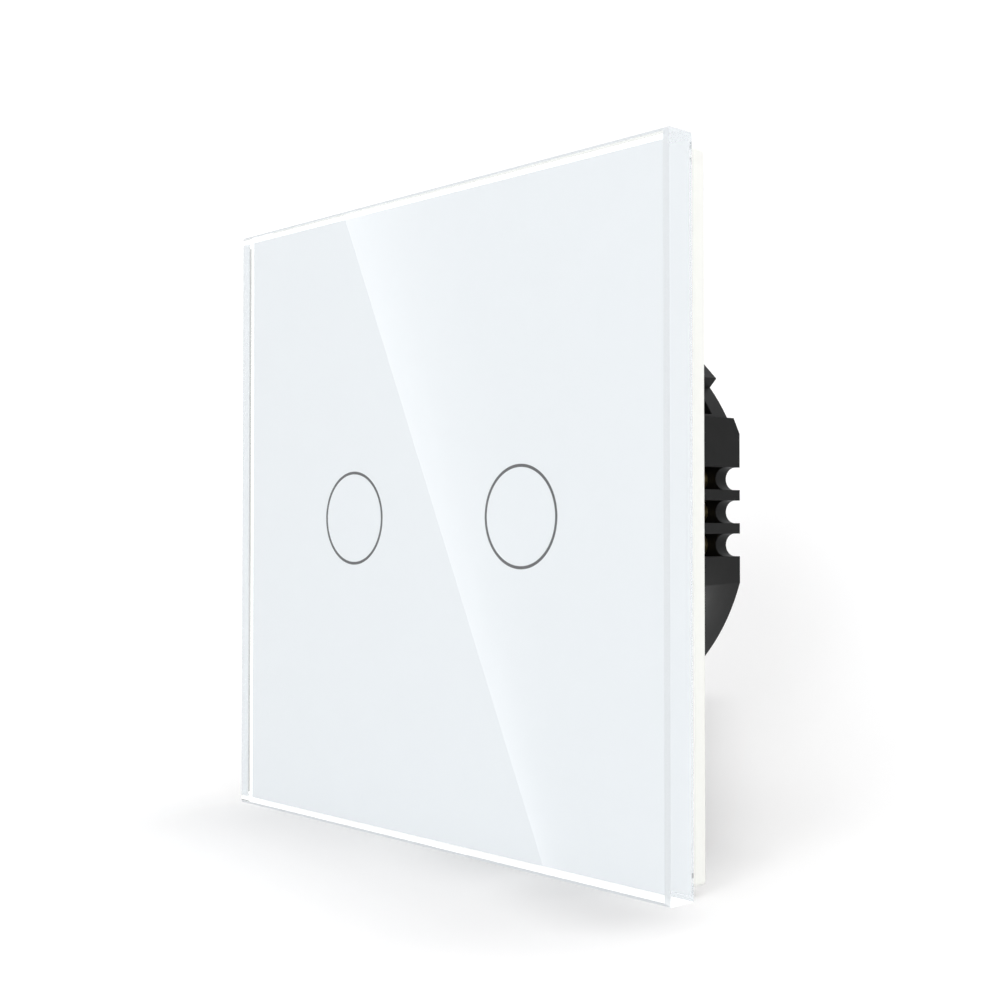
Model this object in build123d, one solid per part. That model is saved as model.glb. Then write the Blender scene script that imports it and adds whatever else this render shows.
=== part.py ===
"""Two-gang touch light switch with a glass panel, for a round wall box.

X runs to the right, Z up and Y from the room into the wall, in millimetres.
The origin is the middle of the mounting bracket's rear face, on the wall's surface.
The glass panel stands in front of it (negative Y), the round body goes into the wall.
"""
from build123d import *
import math
import os

# Shared clearances
fit_gap = 0.15
running_gap = 0.05
overrun = 1.0

# Angles of one turn and a quarter of it, in degrees
full_turn = 360
quarter_turn = 90

# Mounting bracket of sheet steel, its rear face on the wall
bracket_thickness = 1.2
bracket_corner = 3.0
bracket_edge = 2.7
box_slot_width = 3.5
box_slot_length = 5.6
box_slot_clearance = 0.8
rim_seat_depth = 0.2
rim_seat_gap = 0.3

# Round body: a black cup behind the bracket, slightly tapered towards the rear
body_taper = 0.3
body_wall = 1.6
rear_wall = 2.0

# Flat side of the body and the terminal block that stands out of the round
flat_cut = 1.3
flat_wall = 1.6
block_top = 12.3
block_length = 18.0
block_width = 7.5
block_corner_rise = 1.9
block_corner_run = 1.15

# Lugs that centre the body in the wall box, and the pockets beside the block
lug_count = 2
lug_reach = 1.4
lug_width = 4.6
lug_length = 8.0
lug_spacing = 5.05
pocket_spacing = 0.2
pocket_width = 3.6
pocket_length = 8.0
pocket_depth = 1.0
pocket_rim = 2.8

# Shallow round place for a label on the rear wall, left bare
label_radius = 12.0
label_depth = 0.3
label_offset = -6.0

# Posts in the body for the housing screws, and ribs that carry the sensor board
post_radius = 2.3
post_sink = 0.4
post_shoulder = 0.9
post_notch_gap = 0.3
rib_angles = (60, 120, 180, 240, 300)
rib_reach = 1.4
rib_width = 1.2

# Front cover with a spigot that goes through the bracket into the body
cover_overhang = 0.5
cover_thickness = 1.5
spigot_wall = 1.0
spigot_depth = 2.2

# Housing screws
screw_shank_radius = 1.1
screw_head_radius = 2.0
screw_head_height = 0.8
screw_length = 7.0
screw_recess_width = 0.45
screw_recess_depth = 0.4
screw_sink = 0.1

# Panel: glass, its rear print, adhesive and plastic carrier
glass_thickness = 4.0
glass_arris = 0.45
glass_seam = 0.15
print_thickness = 0.1
print_margin = 0.55
panel_air_gap = 0.5
adhesive_thickness = 0.3
adhesive_width = 3.5
adhesive_inset = 1.0
carrier_inset = 1.0
carrier_wall = 1.5
carrier_corner = 0.5
carrier_ledge = 3.5
carrier_ledge_thickness = 1.0
carrier_wall_gap = 0.2
clip_thickness = 1.0
clip_width = 12.0
clip_gap = 0.1
clip_rim_gap = 0.9
pad_width = 1.2
pad_length = 6.0
pad_offset = 20.0
pry_notch_width = 8.0
pry_notch_depth = 1.0

# Touch rings printed on the glass
ring_radius = 5.9
ring_line = 0.36

# Light guides, touch springs and lamps behind the rings
guide_overlap = 0.22
guide_wall = 2.1
guide_flange = 0.5
guide_flange_thickness = 0.8
guide_front_gap = 0.2
guide_hole_gap = 0.1
guide_side_gap = 0.25
spring_side_gap = 1.05
spring_wire = 0.5
spring_turns = 3
spring_end_gap = 0.05
gap_samples = 240
led_length = 1.6
led_width = 0.8
led_height = 0.7
led_pocket_gap = 0.3

# Sensor board and what is soldered to it
sensor_board_thickness = 1.2
board_edge_gap = 0.4
controller_length = 7.0
controller_width = 5.5
controller_height = 1.1
controller_offset = 9.0
resistor_count = 5
resistor_pitch = 2.4
resistor_length = 1.6
resistor_width = 0.8
resistor_height = 0.5
resistor_offset = 9.0

# Pin header between the two boards
board_gap = 3.8
header_pins_count = 5
header_pitch = 2.54
header_width = 2.5
header_height = 2.5
header_offset = 17.0
pin_side = 0.64
pin_hole_radius = 0.5
pin_tail = 0.7

# Power board
power_board_thickness = 1.6
rib_to_power_gap = 0.2
row_margin = 3.9

# Relays
relay_width = 7.2
relay_length = 20.5
relay_height = 13.5
relay_headroom = 1.1
relay_case_wall = 0.6
relay_base_thickness = 1.0
part_spacing = 1.0
coil_lift = 1.3
core_radius = 1.0
bobbin_wall = 0.45
bobbin_side_gap = 0.3
bobbin_flange_thickness = 0.6
winding_inset = 0.2
pole_radius = 2.0
pole_thickness = 0.5
iron_thickness = 0.8
iron_side_gap = 0.5
yoke_back_gap = 0.65
armature_gap = 0.45
armature_edge_gap = 0.3
armature_inset = 0.2
armature_foot_gap = 1.0
blade_thickness = 0.2
blade_inset = 0.8
blade_overlap = 4.0
blade_top_gap = 0.2
button_radius = 0.7
button_height = 0.5
contact_gap = 0.3
fixed_blade_thickness = 0.4
fixed_blade_gap = 3.4

# Terminals: current bar, rising clamp and screw, three side by side
terminal_count = 3
terminal_pitch = 4.1
terminal_middle = 0.7
terminal_rib = 1.3
partition_thickness = 0.5
partition_reach = 1.9
clamp_inset = 1.1
clamp_length = 4.4
clamp_side = 0.35
clamp_top = 1.6
clamp_foot = 1.0
clamp_travel = 2.0
clamp_end_gap = 0.4
wire_space = 2.8
bar_thickness = 1.0
bar_gap = 0.4
bar_leg_thickness = 0.8
bar_leg_reach = 1.4
terminal_screw_radius = 1.2
terminal_head_height = 1.2
terminal_head_gap = 0.2
terminal_slot_width = 0.5
terminal_slot_depth = 0.6
terminal_slot_angle = 60
access_hole_radius = 1.35
wire_notch_depth = 2.2

# Other power parts
film_width = 5.5
film_length = 13.0
film_height = 11.0
film_edge = 0.6
electrolytic_radius = 3.0
electrolytic_height = 11.0
electrolytic_crimp = 0.3
electrolytic_crimp_height = 1.6
rectifier_length = 6.0
rectifier_width = 4.6
rectifier_height = 2.6
varistor_radius = 3.2
varistor_thickness = 2.4
fuse_radius = 1.3
fuse_length = 7.0
fuse_lead_radius = 0.3
fuse_lead_reach = 1.2
fuse_lead_bend = 0.5
fuse_lift = 0.3

# Depths along Y, built up from the wall's surface towards the room
cover_rear_y = -bracket_thickness
cover_front_y = cover_rear_y - cover_thickness
print_rear_y = cover_front_y - panel_air_gap
glass_rear_y = print_rear_y - print_thickness
glass_front_y = glass_rear_y - glass_thickness
ledge_front_y = print_rear_y + adhesive_thickness
ledge_rear_y = ledge_front_y + carrier_ledge_thickness
carrier_rear_y = -carrier_wall_gap

# Depths along Y, built up from the bracket into the wall
rim_y = -rim_seat_depth
sensor_front_y = cover_rear_y + spigot_depth
sensor_rear_y = sensor_front_y + sensor_board_thickness
power_front_y = sensor_rear_y + board_gap
power_rear_y = power_front_y + power_board_thickness
rear_inner_y = power_rear_y + relay_height + relay_headroom
body_depth = rear_inner_y + rear_wall

# Body, worked out from the row of parts that stands across the power board
part_row = (clamp_inset + clamp_length + bar_leg_reach + bar_leg_thickness + 2 * fuse_radius
            + 2 * relay_width + film_width + 2 * electrolytic_radius + 5 * part_spacing)
body_rear_radius = (part_row + row_margin + rib_to_power_gap + rib_reach + body_wall
                    + flat_wall + flat_cut) / 2
body_front_radius = body_rear_radius + body_taper
cavity_radius = body_rear_radius - body_wall
flat_offset = body_rear_radius - flat_cut
flat_inner = flat_offset - flat_wall
post_circle = cavity_radius - post_radius + post_sink
spigot_radius = cavity_radius - fit_gap
cover_radius = body_front_radius + cover_overhang
cover_post_radius = spigot_radius - post_circle
bracket_opening_radius = spigot_radius + fit_gap
sensor_board_radius = cavity_radius - board_edge_gap
rib_inner_radius = cavity_radius - rib_reach
power_board_radius = rib_inner_radius - rib_to_power_gap
board_flat = flat_inner - fit_gap
post_places = [Pos(post_circle * math.cos(a), post_circle * math.sin(a))
               for a in (math.radians(quarter_turn * (i + 1 / 2)) for i in range(4))]
pocket_angle = math.degrees(math.asin((block_top + pocket_spacing + pocket_width / 2) / body_rear_radius))
lug_angle = pocket_angle + math.degrees(lug_spacing / body_rear_radius)

# Bracket and panel, worked out from the body outwards
box_screw_spacing = 2 * (cover_radius + box_slot_clearance) + box_slot_length
bracket_side = box_screw_spacing + box_slot_length + 2 * bracket_edge
bracket_half = bracket_side / 2
ledge_outer_half = bracket_half + clip_gap + clip_thickness + clip_rim_gap
ledge_inner_half = ledge_outer_half - carrier_ledge
carrier_half = ledge_outer_half + carrier_wall
adhesive_half = carrier_half - adhesive_inset
panel_side = 2 * (carrier_half + carrier_inset)
print_half = panel_side / 2 - print_margin

# Touch rings, side by side as far apart as the light guides fit in the front cover
guide_radius = ring_radius + ring_line / 2 + guide_overlap
ring_spacing = 2 * (spigot_radius - spigot_wall - guide_side_gap - guide_flange - guide_radius)
ring_places = [Pos(side * ring_spacing / 2, 0) for side in (-1, 1)]
led_circle = guide_radius - guide_wall / 2
spring_radius = guide_radius - guide_wall - spring_side_gap - spring_wire / 2

# Terminals, worked out from the rear wall and the flat side
terminal_zs = [terminal_middle + (i - (terminal_count - 1) / 2) * terminal_pitch
               for i in range(terminal_count)]
clamp_outer_x = flat_inner - clamp_inset
clamp_inner_x = clamp_outer_x - clamp_length
terminal_x = (clamp_outer_x + clamp_inner_x) / 2
clamp_width = terminal_pitch - partition_thickness - 2 * fit_gap
bar_width = clamp_width - 2 * clamp_side - 2 * fit_gap
wire_slot_width = terminal_pitch - terminal_rib
terminal_head_radius = clamp_width / 2 - running_gap
head_rear_y = rear_inner_y - terminal_head_gap
head_front_y = head_rear_y - terminal_head_height
clamp_rear_y = head_front_y - clamp_end_gap - clamp_travel
clamp_top_y = clamp_rear_y - clamp_top
bar_rear_y = clamp_top_y - bar_gap
bar_front_y = bar_rear_y - bar_thickness
clamp_floor_y = bar_front_y - wire_space
clamp_front_y = clamp_floor_y - clamp_foot
bar_leg_x = clamp_inner_x - bar_leg_reach - bar_leg_thickness

# The row of parts on the power board, packed from the terminals to the left
fuse_x = bar_leg_x - part_spacing - fuse_radius
relay_right_x = fuse_x - fuse_radius - part_spacing - relay_width / 2
relay_xs = [relay_right_x - relay_width - part_spacing, relay_right_x]
film_x = relay_xs[0] - relay_width / 2 - part_spacing - film_width / 2
electrolytic_x = film_x - film_width / 2 - part_spacing - electrolytic_radius
electrolytic_z = electrolytic_radius + part_spacing / 2
small_part_z = film_length / 2 + part_spacing

# Relay works across the relay (X)
case_inner_width = relay_width - 2 * relay_case_wall
iron_width = case_inner_width - 2 * iron_side_gap
armature_width = iron_width - 2 * armature_inset
blade_width = armature_width - 2 * blade_inset
bobbin_flange_radius = case_inner_width / 2 - bobbin_side_gap
bobbin_radius = core_radius + running_gap + bobbin_wall

# Relay works from the board up (Y)
case_inner_y = power_rear_y + relay_height - relay_case_wall
relay_floor_y = power_rear_y + relay_base_thickness
coil_y = relay_floor_y + coil_lift + bobbin_flange_radius
yoke_under_y = coil_y + bobbin_flange_radius + fit_gap
yoke_top_y = yoke_under_y + iron_thickness
armature_foot_y = relay_floor_y + armature_foot_gap
blade_top_y = case_inner_y - blade_top_gap
button_y = blade_top_y - button_radius

# Relay works along the relay (Z): the yoke from the lower end, the contacts from the upper
case_inner_length = relay_length - 2 * relay_case_wall
yoke_back_z = -case_inner_length / 2 + yoke_back_gap
yoke_front_z = yoke_back_z + iron_thickness
fixed_blade_z = case_inner_length / 2 - fixed_blade_gap - fixed_blade_thickness
fixed_button_z = fixed_blade_z - button_height
moving_button_z = fixed_button_z - contact_gap
armature_outer_z = moving_button_z - button_height - blade_thickness
armature_z = armature_outer_z - iron_thickness
yoke_end_z = armature_z - armature_edge_gap
pole_face_z = armature_z - armature_gap
pole_z = pole_face_z - pole_thickness
bobbin_z = yoke_front_z + fit_gap
bobbin_end_z = pole_z - fit_gap


def slab(face, y_from, y_to):
    """A flat face drawn in X and Z, given thickness from one depth to another."""
    plane = Plane(origin=(0, y_to, 0), x_dir=(1, 0, 0), z_dir=(0, -1, 0))
    return extrude(plane * face, amount=y_to - y_from)


def bar(x_from, x_to, y_from, y_to, z_from, z_to):
    """A rectangular block between two places on each axis."""
    middle = Pos((x_from + x_to) / 2, (z_from + z_to) / 2)
    return slab(middle * Rectangle(x_to - x_from, z_to - z_from), y_from, y_to)


def rod_along_z(x, y, radius, z_from, z_to):
    """A round bar that runs up the Z axis."""
    return Pos(x, y, z_from) * extrude(Circle(radius), amount=z_to - z_from)


def left_of(solid, x):
    """What is left of a solid after its part beyond the plane X = x is cut off."""
    box = solid.bounding_box()
    if box.max.X <= x:
        return solid
    return solid - bar(x, box.max.X + overrun, box.min.Y - overrun, box.max.Y + overrun,
                       box.min.Z - overrun, box.max.Z + overrun)


def square_frame(outer_half, inner_half, corner=0):
    """A square ring drawn in X and Z, with its outer corners rounded if asked."""
    outer = Rectangle(2 * outer_half, 2 * outer_half)
    if corner > 0:
        outer = fillet(outer.vertices(), corner)
    return outer - Rectangle(2 * inner_half, 2 * inner_half)


def all_sides(solid):
    """Four copies of a piece, a quarter turn apart about the Y axis."""
    return [Rot(0, quarter_turn * i, 0) * solid for i in range(4)]


def glass_panel():
    """The square of tempered glass, with a ground arris round its front and a narrow one round its rear."""
    pane = slab(Rectangle(panel_side, panel_side), glass_front_y, glass_rear_y)
    pane = chamfer(pane.faces().sort_by(Axis.Y)[0].edges(), glass_arris)
    return chamfer(pane.faces().sort_by(Axis.Y)[-1].edges(), glass_seam)


def ring_line_face():
    """The flat ring of one printed touch mark."""
    return Circle(ring_radius + ring_line / 2) - Circle(ring_radius - ring_line / 2)


def back_print():
    """The coat of paint on the rear of the glass, open where the rings are printed."""
    coat = Rectangle(2 * print_half, 2 * print_half)
    for place in ring_places:
        coat -= place * ring_line_face()
    return slab(coat, glass_rear_y, print_rear_y)


def touch_rings():
    """The two printed rings that mark where to touch."""
    return [slab(place * ring_line_face(), glass_rear_y, print_rear_y) for place in ring_places]


def adhesive_frame():
    """The bonding tape between the glass and its carrier."""
    face = square_frame(adhesive_half, adhesive_half - adhesive_width)
    return slab(face, print_rear_y, ledge_front_y)


def panel_carrier():
    """The white rim that holds the glass, with four clips that grip the bracket's edges."""
    wall = square_frame(carrier_half, ledge_outer_half, carrier_corner)
    rim = slab(wall, ledge_front_y, carrier_rear_y)
    rim += slab(square_frame(ledge_outer_half, ledge_inner_half), ledge_front_y, ledge_rear_y)
    clip_x = bracket_half + clip_gap
    clip = bar(clip_x, clip_x + clip_thickness, ledge_rear_y, carrier_rear_y,
               -clip_width / 2, clip_width / 2)
    pad_outer_x = bracket_half - fit_gap
    pad = bar(pad_outer_x - pad_width, pad_outer_x, ledge_rear_y, cover_rear_y,
              pad_offset - pad_length / 2, pad_offset + pad_length / 2)
    rim += all_sides(clip) + all_sides(pad)
    return rim - bar(-pry_notch_width / 2, pry_notch_width / 2, carrier_rear_y - pry_notch_depth,
                     carrier_rear_y + overrun, -carrier_half - overrun, -ledge_outer_half)


def mounting_bracket():
    """The steel plate with the slots for the wall box's screws and a pressed seat for the body's rim."""
    plate = fillet(Rectangle(bracket_side, bracket_side).vertices(), bracket_corner)
    plate -= Circle(bracket_opening_radius)
    slot = SlotOverall(box_slot_length, box_slot_width)
    for side in (-1, 1):
        plate -= Pos(side * box_screw_spacing / 2, 0) * slot
        plate -= Pos(0, side * box_screw_spacing / 2) * Rot(0, 0, quarter_turn) * slot
    seat = Circle(body_front_radius + rim_seat_gap)
    return slab(plate, cover_rear_y, 0) - slab(seat, rim_y, overrun)


def turned(profile):
    """A solid turned about the Y axis from radius and depth points."""
    return revolve(make_face(Polyline(*profile, close=True)), axis=Axis.Y)


def at_angle(solid, angle):
    """A piece drawn on the right of the body, turned anticlockwise as seen from the room."""
    return Rot(0, -angle, 0) * solid


def body_shell():
    """The outside of the black body: a tapered round with a flat side and a square block."""
    shell = turned([(0, rim_y), (body_front_radius, rim_y), (body_rear_radius, body_depth), (0, body_depth)])
    shell = left_of(shell, flat_offset)
    front_y = body_depth - block_length
    block = Polyline((0, front_y), (block_top, front_y), (block_top, body_depth - block_corner_run),
                     (block_top - block_corner_rise, body_depth), (0, body_depth), close=True)
    block_plane = Plane(origin=(flat_offset, 0, 0), x_dir=(0, 0, 1), z_dir=(-1, 0, 0))
    shell += extrude(block_plane * make_face(block), amount=block_width)
    for i in range(lug_count):
        lug = bar(body_rear_radius - body_wall, body_rear_radius + lug_reach,
                  body_depth - lug_length, body_depth, -lug_width / 2, lug_width / 2)
        shell += at_angle(lug, lug_angle + i * full_turn / lug_count)
    return shell


def terminal_openings(z):
    """The wire slot in the flat side, its notch in the rear wall and the screw's access hole."""
    half = wire_slot_width / 2
    end_x = flat_offset + overrun
    slot = bar(flat_inner - overrun, end_x, clamp_floor_y - bar_gap, rear_inner_y, z - half, z + half)
    round_x = flat_offset - wire_notch_depth + half
    opening = Pos(round_x, z) * Circle(half) + Pos(terminal_x, z) * Circle(access_hole_radius)
    opening += Pos((round_x + end_x) / 2, z) * Rectangle(end_x - round_x, 2 * half)
    return [slot, slab(opening, rear_inner_y - running_gap, body_depth + overrun)]


def base_housing():
    """The black cup with its screw posts, board ribs and terminal partitions."""
    cavity = left_of(slab(Circle(cavity_radius), -overrun, rear_inner_y), flat_inner)
    cup = body_shell() - cavity
    for place in post_places:
        cup += slab(place * Circle(post_radius), rim_y, rear_inner_y + overrun)
        cup += slab(place * Circle(post_radius + post_shoulder), power_rear_y, rear_inner_y + overrun)
    rib = bar(rib_inner_radius, cavity_radius + running_gap, sensor_rear_y, rear_inner_y + running_gap,
              -rib_width / 2, rib_width / 2)
    cup += [at_angle(rib, angle) for angle in rib_angles]
    for i in range(terminal_count + 1):
        z = terminal_zs[0] + (i - 1 / 2) * terminal_pitch
        cup += bar(clamp_inner_x - partition_reach, flat_inner + running_gap, power_rear_y + part_spacing,
                   rear_inner_y + running_gap, z - partition_thickness / 2, z + partition_thickness / 2)
    cup = cup & body_shell()
    for place in post_places:
        depth = cover_rear_y + screw_length + part_spacing
        cup -= slab(place * Circle(screw_shank_radius + running_gap), -overrun, depth)
    for z in terminal_zs:
        cup -= terminal_openings(z)
    pocket_end_y = body_depth - pocket_rim
    for i in range(lug_count):
        pocket = bar(body_rear_radius - pocket_depth, body_front_radius + overrun,
                     pocket_end_y - pocket_length, pocket_end_y, -pocket_width / 2, pocket_width / 2)
        cup -= at_angle(pocket, pocket_angle + i * full_turn / lug_count)
    label = Pos(label_offset, 0) * Circle(label_radius)
    return cup - slab(label, body_depth - label_depth, body_depth + overrun)


def front_cover():
    """The black lid that clamps the bracket to the body and carries the light guides."""
    lid = slab(Circle(cover_radius), cover_front_y, cover_rear_y)
    ring = Circle(spigot_radius) - Circle(spigot_radius - spigot_wall)
    lid += left_of(slab(ring, cover_rear_y, sensor_front_y), board_flat)
    for place in post_places:
        lid += slab(place * Circle(cover_post_radius), cover_rear_y, rim_y)
        lid -= slab(place * Circle(post_radius + post_notch_gap), rim_y, sensor_front_y + overrun)
        lid -= slab(place * Circle(screw_shank_radius + fit_gap), cover_front_y - overrun, sensor_front_y)
        lid -= slab(place * Circle(screw_head_radius + fit_gap), cover_front_y - overrun,
                    cover_front_y + screw_sink + screw_head_height)
    for place in ring_places:
        hole = place * Circle(guide_radius + guide_hole_gap)
        lid -= slab(hole, cover_front_y - overrun, cover_rear_y + overrun)
    return lid


def housing_screws():
    """Four cross-head screws that hold the lid, the bracket and the body together."""
    head_y = cover_front_y + screw_sink
    seat_y = head_y + screw_head_height
    screw = slab(Circle(screw_head_radius), head_y, seat_y)
    screw += slab(Circle(screw_shank_radius), seat_y, seat_y + screw_length)
    blade = Rectangle(screw_head_radius + screw_shank_radius, screw_recess_width)
    cross = blade + Rot(0, 0, quarter_turn) * blade
    screw -= slab(cross, head_y - overrun, head_y + screw_recess_depth)
    return [Pos(place.position.X, 0, place.position.Y) * screw for place in post_places]


def led_places():
    """Centres of the lamps: above and below the middle of each ring."""
    return [(side * ring_spacing / 2, turn * led_circle) for side in (-1, 1) for turn in (-1, 1)]


def light_guides():
    """Clear tubes that carry the lamps' light to the printed rings."""
    hole = Circle(guide_radius - guide_wall)
    tube = Circle(guide_radius) - hole
    flange = Circle(guide_radius + guide_flange) - hole
    guides = [slab(place * tube, print_rear_y + guide_front_gap, sensor_front_y)
              + slab(place * flange, cover_rear_y, cover_rear_y + guide_flange_thickness)
              for place in ring_places]
    pocket = Rectangle(led_length + 2 * led_pocket_gap, guide_wall + 2 * led_pocket_gap)
    cuts = [slab(Pos(x, z) * pocket, sensor_front_y - led_height - led_pocket_gap, sensor_front_y + overrun)
            for x, z in led_places()]
    return [guide - cuts for guide in guides]


def indicator_leds():
    """The lamps under the light guides."""
    lamp = Rectangle(led_length, led_width)
    return [slab(Pos(x, z) * lamp, sensor_front_y - led_height, sensor_front_y) for x, z in led_places()]


def helix_point(turn, radius, y_start, rise):
    """A place on a coil about the Y axis, and the direction of the wire there."""
    angle = 2 * math.pi * turn
    place = Vector(radius * math.cos(angle), y_start + rise * turn, radius * math.sin(angle))
    slope = rise / (2 * math.pi)
    return place, Vector(-radius * math.sin(angle), slope, radius * math.cos(angle)).normalized()


def half_turn_arcs(start, start_way, end, end_way):
    """Two tangent arcs that take the wire from one place and direction to the next."""
    chord = end - start
    along = chord.dot(start_way + end_way)
    spread = 2 * (1 - start_way.dot(end_way))
    reach = (math.sqrt(along * along + spread * chord.dot(chord)) - along) / spread
    middle = (start + end + (start_way - end_way) * reach) / 2
    middle_way = (end - end_way * reach - start - start_way * reach).normalized()
    return [Edge.make_tangent_arc(start, start_way, middle), Edge.make_tangent_arc(middle, middle_way, end)]


def least_gap(path):
    """The least gap of a coil's wire to the turns beside it, measured on points of its route."""
    points = [path @ (i / gap_samples) for i in range(gap_samples + 1)]
    apart = round(gap_samples / spring_turns / 2)
    gaps = [(points[j] - points[i]).length for i in range(len(points))
            for j in range(i + apart, len(points))]
    return min(gaps) - spring_wire


def touch_springs():
    """The two coil springs that carry the touch signal from the glass to the sensor board."""
    y_start = print_rear_y + spring_end_gap + spring_wire / 2
    y_end = sensor_front_y - spring_end_gap - spring_wire / 2
    rise = (y_end - y_start) / spring_turns
    arcs = []
    for i in range(2 * spring_turns):
        start, start_way = helix_point(i / 2, spring_radius, y_start, rise)
        end, end_way = helix_point((i + 1) / 2, spring_radius, y_start, rise)
        arcs += half_turn_arcs(start, start_way, end, end_way)
    path = Wire(arcs)
    print("touch spring, least gap between turns:", round(least_gap(path), 2), "mm")
    section = Plane(origin=path @ 0, z_dir=path % 0) * Circle(spring_wire / 2)
    spring = sweep(section, path=path)
    return [Pos(side * ring_spacing / 2, 0, 0) * spring for side in (-1, 1)]


def pin_places():
    """Centres of the header's pins, in a row near the bottom of the boards."""
    middle = (header_pins_count - 1) / 2
    return [Pos((i - middle) * header_pitch, -header_offset) for i in range(header_pins_count)]


def board(radius, y_from, y_to):
    """A round circuit board with a flat side, notches for the posts and holes for the pins."""
    blank = left_of(slab(Circle(radius), y_from, y_to), board_flat)
    notches = [slab(place * Circle(post_radius + post_notch_gap), y_from - overrun, y_to + overrun)
               for place in post_places]
    holes = [slab(place * Circle(pin_hole_radius), y_from - overrun, y_to + overrun)
             for place in pin_places()]
    return blank - notches - holes


def sensor_board():
    """The board with the touch circuit, clamped between the lid and the body's ribs."""
    return board(sensor_board_radius, sensor_front_y, sensor_rear_y)


def power_board():
    """The board that carries the relays, the supply and the terminals."""
    return board(power_board_radius, power_front_y, power_rear_y)


def touch_controller():
    """The touch chip on the front of the sensor board."""
    return slab(Pos(0, controller_offset) * Rectangle(controller_length, controller_width),
                sensor_front_y - controller_height, sensor_front_y)


def chip_resistors():
    """A row of small resistors on the front of the sensor board."""
    middle = (resistor_count - 1) / 2
    chip = Rectangle(resistor_width, resistor_length)
    return [slab(Pos((i - middle) * resistor_pitch, -resistor_offset) * chip,
                 sensor_front_y - resistor_height, sensor_front_y) for i in range(resistor_count)]


def header_body():
    """The plastic strip that holds the header's pins, seated on the power board."""
    strip = Pos(0, -header_offset) * Rectangle(header_pins_count * header_pitch, header_width)
    strip = slab(strip, power_front_y - header_height, power_front_y)
    hole = Rectangle(pin_side, pin_side)
    return strip - [slab(place * hole, power_front_y - header_height - overrun, power_front_y + overrun)
                    for place in pin_places()]


def header_pins():
    """Square pins that join the sensor board to the power board."""
    pin = Rectangle(pin_side, pin_side)
    return [slab(place * pin, sensor_front_y - pin_tail, power_rear_y + pin_tail) for place in pin_places()]


def relay_cases():
    """The plastic caps of the two relays, open towards the board."""
    cases = []
    for x in relay_xs:
        outline = Pos(x, 0) * Rectangle(relay_width, relay_length)
        cap = slab(outline, power_rear_y, power_rear_y + relay_height)
        hollow = Pos(x, 0) * Rectangle(case_inner_width, case_inner_length)
        cases.append(cap - slab(hollow, power_rear_y - overrun, case_inner_y))
    return cases


def relay_bases():
    """The plates that close the relays' caps and carry their works."""
    plate = Rectangle(case_inner_width - 2 * fit_gap, case_inner_length - 2 * fit_gap)
    return [slab(Pos(x, 0) * plate, power_rear_y, relay_floor_y) for x in relay_xs]


def relay_yokes():
    """The iron frames with the core and pole that the coils magnetise."""
    yokes = []
    half = iron_width / 2
    for x in relay_xs:
        yoke = bar(x - half, x + half, relay_floor_y, yoke_top_y, yoke_back_z, yoke_front_z)
        yoke += bar(x - half, x + half, yoke_under_y, yoke_top_y, yoke_back_z, yoke_end_z)
        yoke += rod_along_z(x, coil_y, core_radius, yoke_back_z, pole_face_z)
        yokes.append(yoke + rod_along_z(x, coil_y, pole_radius, pole_z, pole_face_z))
    return yokes


def relay_bobbins():
    """The plastic spools around the cores."""
    bobbins = []
    for x in relay_xs:
        spool = rod_along_z(x, coil_y, bobbin_radius, bobbin_z, bobbin_end_z)
        for z in (bobbin_z, bobbin_end_z - bobbin_flange_thickness):
            spool += rod_along_z(x, coil_y, bobbin_flange_radius, z, z + bobbin_flange_thickness)
        bore = rod_along_z(x, coil_y, core_radius + running_gap, bobbin_z - overrun, bobbin_end_z + overrun)
        bobbins.append(spool - bore)
    return bobbins


def relay_windings():
    """The copper windings on the spools."""
    start = bobbin_z + bobbin_flange_thickness
    end = bobbin_end_z - bobbin_flange_thickness
    outer = bobbin_flange_radius - winding_inset
    return [rod_along_z(x, coil_y, outer, start, end) - rod_along_z(x, coil_y, bobbin_radius, start, end)
            for x in relay_xs]


def relay_armature(x):
    """The iron flap that the coil pulls in."""
    half = armature_width / 2
    return bar(x - half, x + half, armature_foot_y, yoke_top_y, armature_z, armature_outer_z)


def relay_moving_contact(x):
    """The spring blade on the flap, with its contact button."""
    half = blade_width / 2
    blade = bar(x - half, x + half, yoke_top_y - blade_overlap, blade_top_y,
                armature_outer_z, armature_outer_z + blade_thickness)
    button = rod_along_z(x, button_y, button_radius, armature_outer_z, moving_button_z)
    return blade + button


def relay_fixed_contacts():
    """The fixed blades, with the buttons that the moving contacts meet."""
    blades = []
    half = blade_width / 2
    for x in relay_xs:
        blade = bar(x - half, x + half, relay_floor_y, blade_top_y, fixed_blade_z,
                    fixed_blade_z + fixed_blade_thickness)
        blades.append(blade + rod_along_z(x, button_y, button_radius, fixed_button_z, fixed_blade_z))
    return blades


def terminal_bars():
    """The bent copper bars that the wires are clamped against."""
    half = bar_width / 2
    bars = []
    for z in terminal_zs:
        strip = bar(bar_leg_x, clamp_outer_x - fit_gap, bar_front_y, bar_rear_y, z - half, z + half)
        bars.append(strip + bar(bar_leg_x, bar_leg_x + bar_leg_thickness, power_rear_y, bar_rear_y,
                                z - half, z + half))
    return bars


def terminal_clamp(z):
    """The brass box that rises when its screw is turned, here fully open."""
    half = clamp_width / 2
    box = bar(clamp_inner_x, clamp_outer_x, clamp_front_y, clamp_rear_y, z - half, z + half)
    inside = half - clamp_side
    box -= bar(clamp_inner_x - overrun, clamp_outer_x + overrun, clamp_floor_y, clamp_top_y,
               z - inside, z + inside)
    thread = Pos(terminal_x, z) * Circle(terminal_screw_radius + running_gap)
    return box - slab(thread, clamp_top_y - overrun, clamp_rear_y + overrun)


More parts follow.
